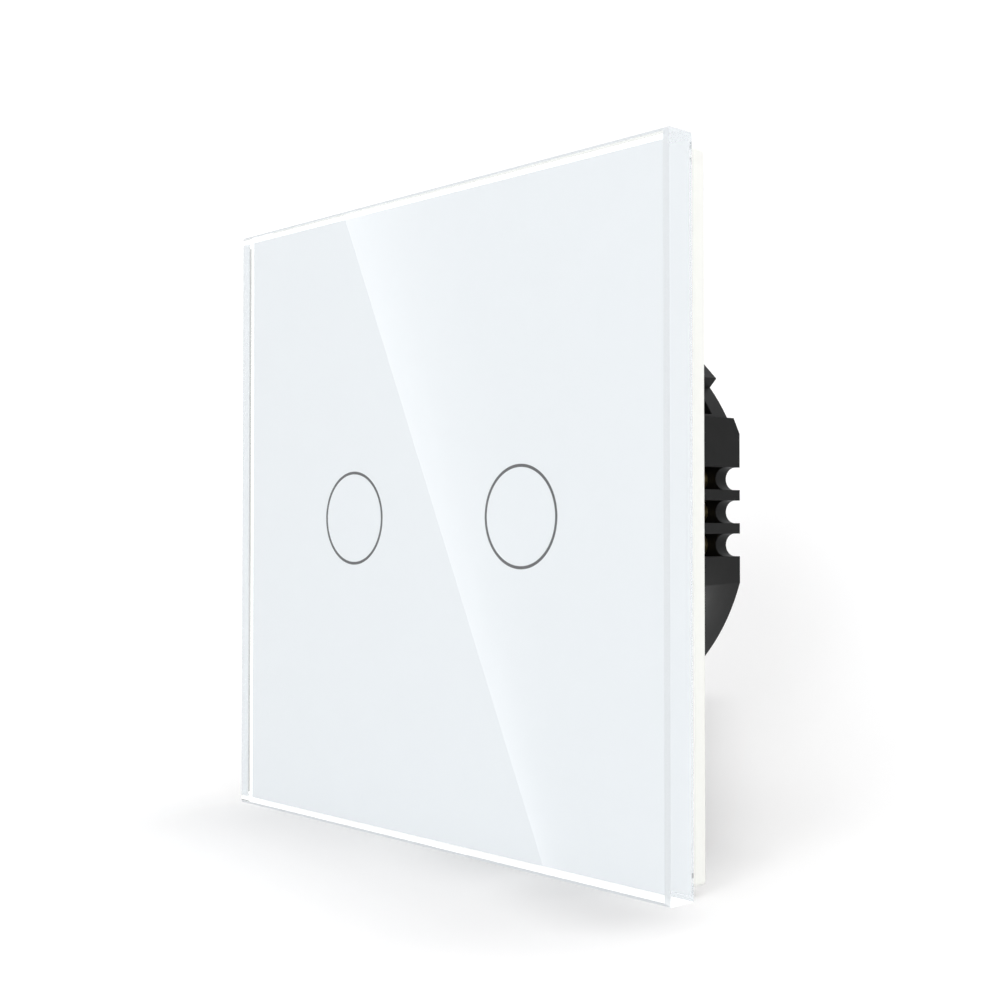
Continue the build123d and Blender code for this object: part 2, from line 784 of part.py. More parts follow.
def terminal_screw(z):
    """The slotted screw of one terminal, its tip on the current bar."""
    place = Pos(terminal_x, z)
    screw = slab(place * Circle(terminal_screw_radius), bar_rear_y + running_gap, head_front_y)
    screw += slab(place * Circle(terminal_head_radius), head_front_y, head_rear_y)
    slot = Rectangle(2 * terminal_head_radius + overrun, terminal_slot_width)
    slot = place * Rot(0, 0, terminal_slot_angle) * slot
    return screw - slab(slot, head_rear_y - terminal_slot_depth, head_rear_y + overrun)


def film_capacitor():
    """The boxed capacitor beside the relays."""
    outline = Pos(film_x, 0) * Rectangle(film_width, film_length)
    case = slab(outline, power_rear_y, power_rear_y + film_height)
    return fillet(case.edges().filter_by(Axis.Y) + case.faces().sort_by(Axis.Y)[-1].edges(), film_edge)


def electrolytic_capacitors():
    """The two round capacitors of the supply, each with its crimped neck."""
    radius = electrolytic_radius
    crimp = electrolytic_crimp
    y = power_rear_y
    neck_y = y + electrolytic_crimp_height
    profile = [(0, y), (radius, y), (radius, neck_y - crimp), (radius - crimp, neck_y),
               (radius, neck_y + crimp), (radius, y + electrolytic_height), (0, y + electrolytic_height)]
    can = turned(profile)
    return [Pos(electrolytic_x, 0, side * electrolytic_z) * can for side in (-1, 1)]


def bridge_rectifier():
    """The rectifier, flat on the board above the capacitor."""
    return bar(film_x - rectifier_length / 2, film_x + rectifier_length / 2, power_rear_y,
               power_rear_y + rectifier_height, small_part_z, small_part_z + rectifier_width)


def surge_varistor():
    """The disc that takes voltage peaks, standing on the board below the capacitor."""
    disc = extrude(Plane.YZ * Circle(varistor_radius), amount=varistor_thickness)
    return Pos(film_x - varistor_thickness / 2, power_rear_y + varistor_radius + running_gap,
               -small_part_z - varistor_radius) * disc


def fuse():
    """The small fuse between the relays and the terminals, on its two bent leads."""
    y = power_rear_y + fuse_radius + fuse_lift
    half = fuse_length / 2
    body = rod_along_z(fuse_x, y, fuse_radius, -half, half)
    for side in (-1, 1):
        start = (fuse_x, y, side * (half - fuse_lead_bend))
        corner = (fuse_x, y, side * (half + fuse_lead_reach))
        foot = (fuse_x, power_rear_y, side * (half + fuse_lead_reach))
        path = FilletPolyline(start, corner, foot, radius=fuse_lead_bend)
        section = Plane(origin=start, z_dir=(0, 0, side)) * Circle(fuse_lead_radius)
        body += sweep(section, path=path)
    return body


def nodes():
    """Every named piece of the switch."""
    pieces = {
        "glass_panel": glass_panel(),
        "back_print": back_print(),
        "touch_rings": touch_rings(),
        "adhesive_frame": adhesive_frame(),
        "panel_carrier": panel_carrier(),
        "mounting_bracket": mounting_bracket(),
        "base_housing": base_housing(),
        "front_cover": front_cover(),
        "housing_screws": housing_screws(),
        "light_guides": light_guides(),
        "indicator_leds": indicator_leds(),
        "touch_springs": touch_springs(),
        "sensor_board": sensor_board(),
        "touch_controller": touch_controller(),
        "chip_resistors": chip_resistors(),
        "header_body": header_body(),
        "header_pins": header_pins(),
        "power_board": power_board(),
        "relay_cases": relay_cases(),
        "relay_bases": relay_bases(),
        "relay_yokes": relay_yokes(),
        "relay_bobbins": relay_bobbins(),
        "relay_windings": relay_windings(),
        "relay_fixed_contacts": relay_fixed_contacts(),
        "terminal_bars": terminal_bars(),
        "film_capacitor": film_capacitor(),
        "electrolytic_capacitors": electrolytic_capacitors(),
        "bridge_rectifier": bridge_rectifier(),
        "surge_varistor": surge_varistor(),
        "fuse": fuse(),
    }
    for side, x in zip(("left", "right"), relay_xs):
        pieces["relay_armature_" + side] = relay_armature(x)
        pieces["relay_moving_contact_" + side] = relay_moving_contact(x)
    for i, z in enumerate(terminal_zs):
        pieces["terminal_clamp_" + str(i + 1)] = terminal_clamp(z)
        pieces["terminal_screw_" + str(i + 1)] = terminal_screw(z)
    return pieces


def solids_of(piece):
    """The separate solids of a piece, or of a list of pieces."""
    if isinstance(piece, list):
        return [solid for item in piece for solid in item.solids()]
    return list(piece.solids())


os.makedirs("parts", exist_ok=True)
for name, piece in nodes().items():
    solids = solids_of(piece)
    shape = solids[0] if len(solids) == 1 else Compound(children=solids)
    export_step(shape, os.path.join("parts", name + ".step"))
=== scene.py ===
# %% [markdown]
# # A touch light switch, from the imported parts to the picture
#
# The switch is a square of clear glass, painted white on its back, on a white plastic rim.
# Behind it a steel plate carries a round black body that goes into the wall.
# The parts come ready made and in place, in metres: X runs to the right, Z up, and Y from
# the room into the wall. This lesson gives each part its finish, adds the few pieces that a
# picture needs, and sets up the light and the camera.

# %% Load the parts
import math

import bmesh
import bpy
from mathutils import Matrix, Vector


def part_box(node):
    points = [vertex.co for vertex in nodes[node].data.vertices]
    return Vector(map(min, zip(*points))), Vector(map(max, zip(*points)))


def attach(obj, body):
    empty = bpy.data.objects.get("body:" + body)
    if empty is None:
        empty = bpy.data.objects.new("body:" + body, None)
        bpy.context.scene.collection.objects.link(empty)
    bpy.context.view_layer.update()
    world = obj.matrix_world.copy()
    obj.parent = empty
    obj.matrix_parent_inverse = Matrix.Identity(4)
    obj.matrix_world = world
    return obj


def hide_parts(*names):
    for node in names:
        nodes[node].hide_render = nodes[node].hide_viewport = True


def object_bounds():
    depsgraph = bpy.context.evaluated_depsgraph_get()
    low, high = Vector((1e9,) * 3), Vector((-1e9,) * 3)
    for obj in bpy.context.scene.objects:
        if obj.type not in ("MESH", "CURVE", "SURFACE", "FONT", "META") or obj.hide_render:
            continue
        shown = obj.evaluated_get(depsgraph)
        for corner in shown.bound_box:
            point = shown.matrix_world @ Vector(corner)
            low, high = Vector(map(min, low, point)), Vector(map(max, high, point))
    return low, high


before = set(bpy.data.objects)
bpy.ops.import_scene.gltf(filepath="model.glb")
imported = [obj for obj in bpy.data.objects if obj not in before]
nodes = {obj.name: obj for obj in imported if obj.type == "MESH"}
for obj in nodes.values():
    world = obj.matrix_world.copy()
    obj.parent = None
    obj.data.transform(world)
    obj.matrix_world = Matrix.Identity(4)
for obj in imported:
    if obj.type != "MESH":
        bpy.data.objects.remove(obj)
cad_box = [list(corner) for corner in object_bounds()]
MM = 0.001


def in_mm(place, digits=1):
    """A place in millimetres, rounded for printing."""
    return [round(value / MM, digits) for value in place]


print("parts:", len(nodes), "box in mm:", [in_mm(corner) for corner in cad_box])

# %% [markdown]
# ## Where the camera stands
#
# The photograph shows straight verticals, so the camera was held level, only a degree up, a
# little below the middle of the glass and about 19 cm away. Its lens could be guessed by eye,
# but the four corners of the glass fix it: the left edge is much shorter than the right one,
# which takes a place this near and a lens of about 54 mm. The angles below are turned into the
# camera's own rotation. A camera with no rotation looks down, so a quarter turn lifts it first.

# %% Camera
PICTURE_SIDE = 1000
SENSOR_WIDTH = 36.0
CAMERA_LENS = 53.58
CAMERA_PLACE = Vector((140.9, -122.25, -1.53)) * MM
CAMERA_YAW = math.radians(47.68)
CAMERA_PITCH = math.radians(1.148)
NEAREST_SEEN = 10 * MM
FARTHEST_SEEN = 20.0

scene = bpy.context.scene
camera_data = bpy.data.cameras.new("camera")
camera_data.sensor_width = SENSOR_WIDTH
camera_data.lens = CAMERA_LENS
camera_data.clip_start = NEAREST_SEEN
camera_data.clip_end = FARTHEST_SEEN
camera = bpy.data.objects.new("camera", camera_data)
camera.location = CAMERA_PLACE
camera.rotation_euler = (math.radians(90) + CAMERA_PITCH, 0, CAMERA_YAW)
scene.collection.objects.link(camera)
scene.camera = camera
print("camera is", round(CAMERA_PLACE.length / MM), "mm from the middle of the switch")

# %% [markdown]
# A pixel of the photograph is a direction from the camera. This helper gives that direction,
# and the next one follows it to a plane. Together they say where something that the
# photograph shows lies in the room.

# %% From pixels to directions
PICTURE_MIDDLE = PICTURE_SIDE / 2
FOCAL_PIXELS = CAMERA_LENS / SENSOR_WIDTH * PICTURE_SIDE
camera_turn = camera.rotation_euler.to_matrix()


def pixel_direction(across, down):
    """The direction in which the camera sees a pixel of the photograph."""
    sight = Vector((across - PICTURE_MIDDLE, PICTURE_MIDDLE - down, -FOCAL_PIXELS))
    return (camera_turn @ sight).normalized()


def reach_plane(start, direction, y):
    """Where a ray meets the plane at a depth y."""
    return start + direction * ((y - start.y) / direction.y)


glass_low, glass_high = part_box("glass_panel")
middle_hit = reach_plane(CAMERA_PLACE, pixel_direction(PICTURE_MIDDLE, PICTURE_MIDDLE), glass_low.y)
print("the picture's middle is on the glass at, in mm:", in_mm(middle_hit))

# %% [markdown]
# ## A sweep of paper under and behind the switch
#
# Product pictures are taken on one sheet of paper that curves up behind the thing, so that
# there is no line where floor and wall meet. It could be a plane and a wall, but their corner
# would show in the shadow. Here a profile of points, with a quarter circle for the bend, is
# drawn out to both sides. The shadow in the photograph climbs up behind the switch, so the
# bend is near. The sheet is hidden from mirrors, which show the plain white room instead.

# %% Build the sweep
SWEEP_FRONT = -1.6
SWEEP_BACK = 0.24
SWEEP_BEND = 0.12
SWEEP_TOP = 1.5
SWEEP_HALF_WIDTH = 1.8
BEND_STEPS = 24
floor_z = cad_box[0][2]

profile = [(SWEEP_FRONT, floor_z)]
for step in range(BEND_STEPS + 1):
    angle = math.radians(90) * step / BEND_STEPS
    profile.append((SWEEP_BACK - SWEEP_BEND + SWEEP_BEND * math.sin(angle),
                    floor_z + SWEEP_BEND - SWEEP_BEND * math.cos(angle)))
profile.append((SWEEP_BACK, SWEEP_TOP))


def new_object(name, mesh):
    """An object for a mesh, in the scene."""
    made = bpy.data.objects.new(name, mesh)
    scene.collection.objects.link(made)
    return made


def strip_from(name, pairs, smooth=False):
    """A strip of faces that joins each pair of points to the next pair."""
    points = [point for pair in pairs for point in pair]
    faces = [(2 * i, 2 * i + 1, 2 * i + 3, 2 * i + 2) for i in range(len(pairs) - 1)]
    mesh = bpy.data.meshes.new(name)
    mesh.from_pydata(points, [], faces)
    for polygon in mesh.polygons:
        polygon.use_smooth = smooth
    return new_object(name, mesh)


sweep_pairs = [((-SWEEP_HALF_WIDTH, y, z), (SWEEP_HALF_WIDTH, y, z)) for y, z in profile]
sweep = strip_from("paper_sweep", sweep_pairs, smooth=True)
sweep.visible_glossy = False
print("sweep:", len(sweep.data.polygons), "strips, floor at", round(floor_z / MM, 1), "mm")

# %% [markdown]
# ## How materials are made here
#
# Every finish starts from the Principled shader, the one node that covers plastic, metal and
# glass. What is the same all over a surface is typed on the shader's own sockets. What varies,
# such as grain, is made of noise, so there are no image files. The first helpers make a finish,
# its nodes and the sums between them.

# %% Helpers for nodes
def new_finish(name, colour, roughness, metallic=0.0, specular=0.5):
    """A material with one Principled shader, and the shader itself."""
    material = bpy.data.materials.new(name)
    material.use_nodes = True
    shader = material.node_tree.nodes["Principled BSDF"]
    shader.inputs["Base Color"].default_value = (*colour, 1)
    shader.inputs["Roughness"].default_value = roughness
    shader.inputs["Metallic"].default_value = metallic
    shader.inputs["Specular IOR Level"].default_value = specular
    return material, shader


def add_node(owner, kind, **settings):
    """A node in a material or a world, with settings given by name."""
    node = owner.node_tree.nodes.new(kind)
    for key, value in settings.items():
        setattr(node, key, value)
    return node


def join(owner, start, end):
    """A link from one node's output to another's input."""
    owner.node_tree.links.new(start, end)


def feed(owner, socket, value):
    """Gives an input another node's output, or a plain value."""
    if isinstance(value, bpy.types.NodeSocket):
        join(owner, value, socket)
    else:
        socket.default_value = value


def maths(owner, operation, *values):
    """The result of a Math node for some values, each an output or a plain number."""
    node = add_node(owner, "ShaderNodeMath", operation=operation)
    for socket, value in zip(node.inputs, values):
        feed(owner, socket, value)
    return node.outputs[0]


def blend(owner, share, first, second):
    """A colour that goes from the first to the second, each an output or four numbers."""
    mix = add_node(owner, "ShaderNodeMix", data_type="RGBA")
    join(owner, share, mix.inputs["Factor"])
    feed(owner, mix.inputs["A"], first)
    feed(owner, mix.inputs["B"], second)
    return mix.outputs["Result"]


def ray_is(owner, *kinds):
    """A value of 1 for rays of the kinds named, else 0."""
    path = add_node(owner, "ShaderNodeLightPath")
    total = path.outputs[kinds[0]]
    for kind in kinds[1:]:
        total = maths(owner, "MAXIMUM", total, path.outputs[kind])
    return total


print("nodes can now be made, joined, fed and mixed")

# %% [markdown]
# The next helpers are for what makes a surface real: a tone that wanders a little, a shine that
# isn't even, a fine relief. All three take their unevenness from noise that is fixed to the
# part, so it moves along when the part does. Sizes are in metres, as everywhere.

# %% Helpers for surfaces
NOISE_DETAIL = 2.0
BEVEL_SAMPLES = 4


def object_noise(material, size, stretch=(1, 1, 1)):
    """Noise fixed to the part, with spots of about one size, drawn out along an axis if asked."""
    place = add_node(material, "ShaderNodeTexCoord")
    scale = add_node(material, "ShaderNodeMapping")
    scale.inputs["Scale"].default_value = [1 / (size * s) for s in stretch]
    noise = add_node(material, "ShaderNodeTexNoise")
    noise.inputs["Scale"].default_value = 1.0
    noise.inputs["Detail"].default_value = NOISE_DETAIL
    join(material, place.outputs["Object"], scale.inputs["Vector"])
    join(material, scale.outputs["Vector"], noise.inputs["Vector"])
    return noise.outputs["Fac"]


def add_mottle(material, shader, low, high, size, stretch=(1, 1, 1)):
    """Colour that wanders between two close tones."""
    tone = blend(material, object_noise(material, size, stretch), (*low, 1), (*high, 1))
    join(material, tone, shader.inputs["Base Color"])


def add_grain(material, shader, size, depth, strength, stretch=(1, 1, 1), edge=0.0):
    """A fine relief, and soft edges if a radius is given for them."""
    bump = add_node(material, "ShaderNodeBump")
    bump.inputs["Distance"].default_value = depth
    bump.inputs["Strength"].default_value = strength
    join(material, object_noise(material, size, stretch), bump.inputs["Height"])
    if edge > 0:
        soft = add_node(material, "ShaderNodeBevel", samples=BEVEL_SAMPLES)
        soft.inputs["Radius"].default_value = edge
        join(material, soft.outputs["Normal"], bump.inputs["Normal"])
    join(material, bump.outputs["Normal"], shader.inputs["Normal"])


def add_uneven_gloss(material, shader, low, high, size, stretch=(1, 1, 1)):
    """Roughness that wanders between two values."""
    span = add_node(material, "ShaderNodeMapRange")
    span.inputs["To Min"].default_value = low
    span.inputs["To Max"].default_value = high
    join(material, object_noise(material, size, stretch), span.inputs["Value"])
    join(material, span.outputs["Result"], shader.inputs["Roughness"])


def dress(material, *names):
    """Puts one material on each named part."""
    for name in names:
        slots = nodes[name].data.materials
        slots.clear()
        slots.append(material)
    print(material.name, "on", ", ".join(names))


print("surfaces can now be mottled, grained and made uneven in their shine")

# %% [markdown]
# ## White paper that keeps a shadow
#
# The photograph's ground is pure white, yet the switch throws a soft shadow on it. More light
# would bleach the switch as well, so the paper gets help instead: it is a pale grey that takes
# light and shadow, and for the camera, and for what is seen through glass, it also glows a
# little. Lit paper then passes white, and shaded paper stays grey. The Light Path node tells
# these rays apart, and the lamps' own bounces see only the plain paper. The lamps reach the far
# paper less, so the glow grows with the distance from the switch.

# %% Paper
PAPER_COLOUR = (0.756, 0.749, 0.745)
GLOW_NEAR = 0.37
GLOW_FAR = 0.6
GLOW_RISE_START = 250 * MM
GLOW_RISE_END = 600 * MM
GLOW_IN_GLASS = 0.85

paper, paper_shader = new_finish("paper", PAPER_COLOUR, roughness=0.9, specular=0.0)
paper_place = add_node(paper, "ShaderNodeTexCoord").outputs["Object"]


def paper_vector(operation, first, second):
    """The result of a Vector Math node of the paper: a number for a product or a distance."""
    node = add_node(paper, "ShaderNodeVectorMath", operation=operation)
    feed(paper, node.inputs[0], first)
    feed(paper, node.inputs[1], second)
    return node.outputs["Value" if operation in ("DOT_PRODUCT", "DISTANCE") else "Vector"]


def paper_strength(distance, near, far, near_strength, far_strength):
    """A strength that changes smoothly between two distances."""
    step = add_node(paper, "ShaderNodeMapRange", interpolation_type="SMOOTHSTEP")
    step.inputs["From Min"].default_value = near
    step.inputs["From Max"].default_value = far
    step.inputs["To Min"].default_value = near_strength
    step.inputs["To Max"].default_value = far_strength
    join(paper, distance, step.inputs["Value"])
    return step.outputs["Result"]


from_middle = paper_vector("DISTANCE", paper_place, (0, 0, floor_z))
glow_left = paper_strength(from_middle, GLOW_RISE_START, GLOW_RISE_END, GLOW_NEAR, GLOW_FAR)
print("paper glows by", GLOW_NEAR, "to", GLOW_FAR, "for the camera")

# %% [markdown]
# A glow that is the same everywhere fills the shadow too. Stronger lamps would deepen it, but
# they would burn out the switch. So the glow is weaker along four lines on the ground, where
# the photograph's shadow is deepest, and each of these fades out softly with the distance from
# its line. A line is given by its two ends and its reach, in millimetres, and by the glow that
# it takes away.

# %% Deeper shade on the paper
SHADES = {
    "under the panel": {"start": (-25, -10, -40), "end": (30, -20, -40), "reach": 35, "depth": 0.22},
    "at its right corner": {"start": (30, -10, -40), "end": (38, -12, -40), "reach": 12, "depth": 0.15},
    "beside the body": {"start": (15, 5, -40), "end": (-80, 120, -35), "reach": 25, "depth": 0.29},
    "far behind": {"start": (-10, 25, -40), "end": (-150, 260, -15), "reach": 50, "depth": 0.17},
}


def shade_along(start, end, reach, depth):
    """A loss of glow along the line between two places, which fades out over the reach."""
    start = Vector(start) * MM
    along = Vector(end) * MM - start
    offset = paper_vector("SUBTRACT", paper_place, start)
    share = add_node(paper, "ShaderNodeClamp")
    join(paper, paper_vector("DOT_PRODUCT", offset, along / along.length_squared), share.inputs["Value"])
    nearest = paper_vector("MULTIPLY", share.outputs["Result"], along)
    distance = paper_vector("DISTANCE", offset, nearest)
    return paper_strength(distance, 0, reach * MM, depth, 0)


for shade in SHADES.values():
    glow_left = maths(paper, "SUBTRACT", glow_left, shade_along(**shade))
glow_for_camera = maths(paper, "MULTIPLY", ray_is(paper, "Is Camera Ray"), glow_left)
paper_glow = maths(paper, "MULTIPLY_ADD", ray_is(paper, "Is Transmission Ray"), GLOW_IN_GLASS,
                   glow_for_camera)
paper_shader.inputs["Emission Color"].default_value = (1, 1, 1, 1)
join(paper, paper_glow, paper_shader.inputs["Emission Strength"])
sweep.data.materials.append(paper)
print("the glow is weaker", ", ".join(SHADES))

# %% [markdown]
# ## The light
#
# Four things light the switch: the white room, a large soft lamp in front and to the left of
# the camera, a soft lamp overhead and another on the right. The front lamp throws the shadow
# that spreads to the right behind the switch. The lamp overhead, a little behind, makes the
# shadow under the bottom edge, and the one on the right brightens the narrow side. Sizes matter
# more than power: the larger the lamp, the softer the shadow. The camera, mirrors and glass see
# the room as plain white, and as a source of light it is a little weaker.

# %% World and lamps
ROOM_STRENGTH = 0.7
ROOM_STRENGTH_SEEN = 1.0
ROOM_COLOUR = (0.97, 0.985, 1.0)

world = bpy.data.worlds.new("room")
world.use_nodes = True
room = world.node_tree.nodes["Background"]
room.inputs["Color"].default_value = (*ROOM_COLOUR, 1)
room_span = add_node(world, "ShaderNodeMapRange")
room_span.inputs["To Min"].default_value = ROOM_STRENGTH
room_span.inputs["To Max"].default_value = ROOM_STRENGTH_SEEN
room_is_seen = ray_is(world, "Is Camera Ray", "Is Glossy Ray", "Is Transmission Ray")
join(world, room_is_seen, room_span.inputs["Value"])
join(world, room_span.outputs["Result"], room.inputs["Strength"])
scene.world = world
scene.view_settings.view_transform = "Standard"


def soft_lamp(name, azimuth, elevation, distance, width, height, power):
    """A lamp that looks at the switch. Azimuth 0 is in front of the glass, 90 to its right."""
    turn = math.radians(azimuth)
    rise = math.radians(elevation)
    away = Vector((math.sin(turn) * math.cos(rise), -math.cos(turn) * math.cos(rise), math.sin(rise)))
    data = bpy.data.lights.new(name, "AREA")
    data.shape = "RECTANGLE"
    data.size = width
    data.size_y = height
    data.energy = power
    lamp = bpy.data.objects.new(name, data)
    lamp.location = away * distance
    lamp.rotation_euler = away.to_track_quat("Z", "Y").to_euler()
    scene.collection.objects.link(lamp)


soft_lamp("front_lamp", azimuth=17, elevation=17, distance=1.3, width=0.35, height=0.8, power=5.2)
soft_lamp("top_lamp", azimuth=170, elevation=76, distance=1.0, width=0.7, height=0.7, power=2.6)
soft_lamp("side_lamp", azimuth=95, elevation=15, distance=1.3, width=0.7, height=0.7, power=5.2)

# %% [markdown]
# ## The band of light in the glass
#
# A bright band crosses the glass, sharp on its left and fading on its right. It isn't on the
# glass: it is the mirror image of a lit card in the studio. Painting it into the material
# would be wrong, since it would stay put when the camera moves. So a card is hung where the
# glass mirrors it. The two ends of the band's sharp edge, and the line where it has faded, are
# read from the photograph as pixels. Each pixel's ray goes to the glass, bounces off it, and
# says where the card's corner is.

# %% A card for the glass to mirror
CARD_Y = -0.7
CARD_STEPS = 24
BAND_TOP_ROW = 100
BAND_BOTTOM_ROW = 960
BAND_EDGE_TOP = (346, 222)
BAND_EDGE_BOTTOM = (543, 866)
BAND_END_ACROSS = 600


def edge_at(row):
    """Where the band's sharp edge is on a row of the photograph."""
    share = (row - BAND_EDGE_TOP[1]) / (BAND_EDGE_BOTTOM[1] - BAND_EDGE_TOP[1])
    return BAND_EDGE_TOP[0] + share * (BAND_EDGE_BOTTOM[0] - BAND_EDGE_TOP[0])


def mirrored(across, down):
    """The place on the card's plane that the glass shows at a pixel."""
    direction = pixel_direction(across, down)
    hit = reach_plane(CAMERA_PLACE, direction, glass_low.y)
    bounced = Vector((direction.x, -direction.y, direction.z))
    return reach_plane(hit, bounced, CARD_Y)


top_left = mirrored(edge_at(BAND_TOP_ROW), BAND_TOP_ROW)
top_right = mirrored(BAND_END_ACROSS, BAND_TOP_ROW)
bottom_left = mirrored(edge_at(BAND_BOTTOM_ROW), BAND_BOTTOM_ROW)
bottom_right = mirrored(BAND_END_ACROSS, BAND_BOTTOM_ROW)
card_pairs = []
for step in range(CARD_STEPS + 1):
    share = step / CARD_STEPS
    card_pairs.append((top_left.lerp(bottom_left, share), top_right.lerp(bottom_right, share)))
card = strip_from("lit_card", card_pairs)
print("card corners in mm:", [in_mm(c) for c in (top_left, top_right, bottom_right, bottom_left)])

# %% [markdown]
# The card's light fades from its left edge to its right one. A UV map is the simplest ruler for
# that: it holds 0 on every left point and 1 on every right one. The card only adds light to
# what is behind it, and only mirrors see it, so it throws no shadow and lights nothing else.

# %% Light of the card
CARD_STRENGTH = 1.5
CARD_FADE = 3.5


def added_light(name):
    """A material that adds light to what is behind it, and the shader of that light."""
    material = bpy.data.materials.new(name)
    material.use_nodes = True
    material.node_tree.nodes.clear()
    light = add_node(material, "ShaderNodeEmission")
    clear = add_node(material, "ShaderNodeBsdfTransparent")
    both = add_node(material, "ShaderNodeAddShader")
    output = add_node(material, "ShaderNodeOutputMaterial")
    join(material, light.outputs[0], both.inputs[0])
    join(material, clear.outputs[0], both.inputs[1])
    join(material, both.outputs[0], output.inputs["Surface"])
    return material, light


def only_in_mirrors(thing):
    """Hides a thing from all rays but mirrored ones."""
    for kind in ("camera", "diffuse", "shadow", "transmission"):
        setattr(thing, "visible_" + kind, False)


across_map = card.data.uv_layers.new(name="across")
for polygon in card.data.polygons:
    for loop in polygon.loop_indices:
        across_map.data[loop].uv = (card.data.loops[loop].vertex_index % 2, 0)
glow, glow_light = added_light("card_glow")
ruler = add_node(glow, "ShaderNodeUVMap", uv_map="across")
split = add_node(glow, "ShaderNodeSeparateXYZ")
join(glow, ruler.outputs["UV"], split.inputs[0])
fade = maths(glow, "POWER", maths(glow, "SUBTRACT", 1.0, split.outputs["X"]), CARD_FADE)
join(glow, maths(glow, "MULTIPLY", fade, CARD_STRENGTH), glow_light.inputs["Strength"])
card.data.materials.append(glow)
only_in_mirrors(card)
print("the card glows by", CARD_STRENGTH, "at its left edge")

# %% [markdown]
# A second, very small card sits behind the panel, close to the black body. The photograph has
# a soft sheen on the body's lower curve that dies away towards the rear. A far lamp lights the
# whole length alike, and only something near can fade that fast. The card shows in shiny
# surfaces alone, and light linking keeps it to the body, so the steel plate doesn't flare.

# %% A card for the body's sheen
SHEEN_PLACE = Vector((34, 17.5, -20.5)) * MM
SHEEN_HALF_SIDE = 5 * MM
SHEEN_STRENGTH = 140.0
SHEEN_TARGET = Vector((23.8, 4, -10)) * MM

sheen_turn = (SHEEN_PLACE - SHEEN_TARGET).to_track_quat("Z", "Y")
sheen_sides = (-SHEEN_HALF_SIDE, SHEEN_HALF_SIDE)
sheen_pairs = [[SHEEN_PLACE + sheen_turn @ Vector((x, y, 0)) for x in sheen_sides] for y in sheen_sides]
sheen_card = strip_from("sheen_card", sheen_pairs)
sheen, sheen_light = added_light("sheen_glow")
sheen_light.inputs["Strength"].default_value = SHEEN_STRENGTH
sheen_card.data.materials.append(sheen)
only_in_mirrors(sheen_card)
sheen_takers = bpy.data.collections.new("sheen_takers")
sheen_takers.objects.link(nodes["base_housing"])
sheen_card.light_linking.receiver_collection = sheen_takers
print("sheen card at", in_mm(SHEEN_PLACE), "mm")

# %% [markdown]
# ## The glass
#
# The front is tempered glass, 4 mm thick, with its front edges ground to a narrow arris. The
# part from the workshop has that shape, but paint on glass is a special case: it wets the
# glass, so there is no air between them. In a ray tracer two faces in the same plane fight each
# other, and a gap would mirror light that real paint takes. The usual cure is to let the two
# overlap by a hair. So the pane is made anew, with its back a hundredth of a millimetre inside
# the paint, and it stands for the workshop's part. Its rear edge stays sharp, because even a
# tiny facet there draws a dark line that the photograph doesn't have.

# %% Build the glass pane
GLASS_ARRIS = 0.45 * MM
PAINT_OVERLAP = 0.01 * MM
SAME_PLACE = 0.01 * MM


def ground_pane(name, low, high, rear):
    """A slab of glass with a slanted arris round its front, which takes the second material."""
    mesh = bpy.data.meshes.new(name)
    shape = bmesh.new()
    bmesh.ops.create_cube(shape, size=1)
    size = Vector((high.x - low.x, rear - low.y, high.z - low.z))
    middle = Vector(((high.x + low.x) / 2, (rear + low.y) / 2, (high.z + low.z) / 2))
    bmesh.ops.scale(shape, vec=size, verts=shape.verts)
    bmesh.ops.translate(shape, vec=middle, verts=shape.verts)
    rim = [edge for edge in shape.edges if all(abs(v.co.y - low.y) < SAME_PLACE for v in edge.verts)]
    cut = bmesh.ops.bevel(shape, geom=rim, offset=GLASS_ARRIS, segments=1, profile=0.5, affect="EDGES")
    for face in cut["faces"]:
        face.material_index = 1
    shape.to_mesh(mesh)
    shape.free()
    return new_object(name, mesh)


pane = ground_pane("glass_pane", glass_low, glass_high, glass_high.y + PAINT_OVERLAP)
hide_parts("glass_panel")
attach(pane, "panel")
print("glass pane:", len(pane.data.polygons), "faces")

# %% [markdown]
# Clear glass bends the light that the camera sees, and that is what draws the pale lines along
# its edges. But a path tracer finds a lamp behind bent glass only by luck, and leaves the
# paint dark and noisy. So rays that look for a lamp, and rays on their way from the paint into
# the room, pass straight through, while every other ray meets real glass. Some rays are
# mirrored round inside the pane until the renderer gives them up, and they would count as
# black. In real glass they get out in the end, into a white room, so here they end on white.

# %% Glass finish
GLASS_COLOUR = (0.985, 0.995, 0.99)
GLASS_IOR = 1.5
MIRRORED_OFTEN = 2.5
WHITE_IN_GLASS = (0.9, 0.92, 0.93)

glass, glass_shader = new_finish("clear_glass", GLASS_COLOUR, roughness=0.0)
glass_shader.inputs["Transmission Weight"].default_value = 1.0
glass_shader.inputs["IOR"].default_value = GLASS_IOR


def choose(material, share, first, second):
    """A mix of two shaders, the second one where the share is 1."""
    mix = add_node(material, "ShaderNodeMixShader")
    join(material, share, mix.inputs["Fac"])
    join(material, first.outputs[0], mix.inputs[1])
    join(material, second.outputs[0], mix.inputs[2])
    return mix


def end_in_white(material, shader):
    """Lets rays that were mirrored inside the glass too often end on white instead of black."""
    times = add_node(material, "ShaderNodeLightPath").outputs["Glossy Depth"]
    white = add_node(material, "ShaderNodeBsdfDiffuse")
    white.inputs["Color"].default_value = (*WHITE_IN_GLASS, 1)
    return choose(material, maths(material, "GREATER_THAN", times, MIRRORED_OFTEN), shader, white)


def let_light_through(material, shader):
    """Lets rays that look for light pass straight through, while others meet the shader."""
    clear = add_node(material, "ShaderNodeBsdfTransparent")
    mix = choose(material, ray_is(material, "Is Shadow Ray", "Is Diffuse Ray"), shader, clear)
    join(material, mix.outputs[0], material.node_tree.nodes["Material Output"].inputs["Surface"])


